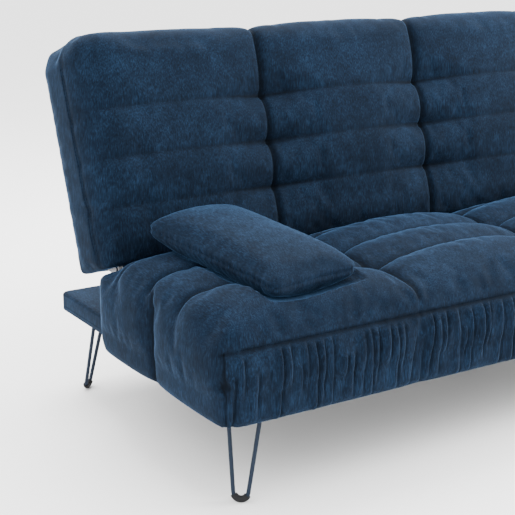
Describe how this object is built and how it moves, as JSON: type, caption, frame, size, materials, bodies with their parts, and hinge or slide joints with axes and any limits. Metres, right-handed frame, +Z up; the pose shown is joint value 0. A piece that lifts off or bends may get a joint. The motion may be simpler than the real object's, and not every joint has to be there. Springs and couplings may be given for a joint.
{
  "type": "futon sofa bed",
  "caption": "Armless click-clack sofa bed with a tufted seat and back that reclines flat, on a low padded base with hairpin legs, and one loose lumbar pillow.",
  "frame": {"origin": "on the floor at the middle of the footprint", "axes": "+X to the sitter's left along the length (the viewer's right), -Y is the front, +Z up"},
  "size_m": [1.88, 0.852, 0.8778],
  "materials": {
    "velvet": "navy chenille velvet with a streaky pile",
    "lining": "black non-woven lining",
    "foam": "open-cell foam",
    "frame_wood": "sawn pine and plywood",
    "black_steel": "satin powder coat",
    "zinc_steel": "zinc plated",
    "spring_wire": "oiled spring wire",
    "clip_plastic": "moulded nylon",
    "foot_rubber": "moulded rubber"
  },
  "bodies": {
    "base": {"base_corner_blocks": "frame_wood", "base_cover": "velvet", "base_cross_rails": "frame_wood", "base_dust_cover": "lining", "base_front_rail": "frame_wood", "base_rear_rail": "frame_wood", "base_side_rail_left": "frame_wood", "base_side_rail_right": "frame_wood", "centre_leg_glide": "foot_rubber", "centre_leg_plate": "black_steel", "centre_leg_post": "black_steel", "hinge_base_plate_left": "zinc_steel", "hinge_base_plate_right": "zinc_steel", "hinge_pawl_pin_left": "zinc_steel", "hinge_pawl_pin_right": "zinc_steel", "hinge_pivot_left": "zinc_steel", "hinge_pivot_right": "zinc_steel", "hinge_plate_bolts": "zinc_steel", "leg_foot_front_left": "foot_rubber", "leg_foot_front_right": "foot_rubber", "leg_foot_rear_left": "foot_rubber", "leg_foot_rear_right": "foot_rubber", "leg_plate_front_left": "black_steel", "leg_plate_front_right": "black_steel", "leg_plate_rear_left": "black_steel", "leg_plate_rear_right": "black_steel", "leg_rod_front_left": "black_steel", "leg_rod_front_right": "black_steel", "leg_rod_rear_left": "black_steel", "leg_rod_rear_right": "black_steel", "leg_screws": "zinc_steel", "seat_cover": "velvet", "seat_foam": "foam", "seat_frame_bolts": "zinc_steel", "seat_frame_cross_rails": "frame_wood", "seat_frame_front_rail": "frame_wood", "seat_frame_rear_rail": "frame_wood", "seat_frame_side_rail_left": "frame_wood", "seat_frame_side_rail_right": "frame_wood", "seat_spring_clips": "clip_plastic", "seat_springs": "spring_wire"},
    "backrest": {"back_cover": "velvet", "back_foam": "foam", "back_frame_bottom_rail": "frame_wood", "back_frame_cross_stiles": "frame_wood", "back_frame_stile_left": "frame_wood", "back_frame_stile_right": "frame_wood", "back_frame_top_rail": "frame_wood", "back_rear_panel": "lining", "back_spring_clips": "clip_plastic", "back_springs": "spring_wire", "hinge_arm_bolts": "zinc_steel", "hinge_back_arm_left": "zinc_steel", "hinge_back_arm_right": "zinc_steel"},
    "pillow": {"pillow": "velvet"},
    "pawl_left": {"hinge_pawl_left": "zinc_steel"},
    "pawl_right": {"hinge_pawl_right": "zinc_steel"}
  },
  "joints": [
    {"name": "back_recline", "type": "hinge", "parent": "base", "child": "backrest", "pos_m": [0, 0.137, 0.368], "axis": [-1, 0, 0], "range_deg": [-8, 70]},
    {"name": "pillow_lift", "type": "slide", "parent": "base", "child": "pillow", "axis": [0, 0, 1], "range_m": [0, 0.35]},
    {"name": "pawl_release_left", "type": "hinge", "parent": "base", "child": "pawl_left", "pos_m": [-0.898, 0.101, 0.344], "axis": [-1, 0, 0], "range_deg": [0, 10], "stiffness_Nm_per_rad": 0.05, "springref_deg": -17.19},
    {"name": "pawl_release_right", "type": "hinge", "parent": "base", "child": "pawl_right", "pos_m": [0.898, 0.101, 0.344], "axis": [-1, 0, 0], "range_deg": [0, 10], "stiffness_Nm_per_rad": 0.05, "springref_deg": -17.19}
  ]
}
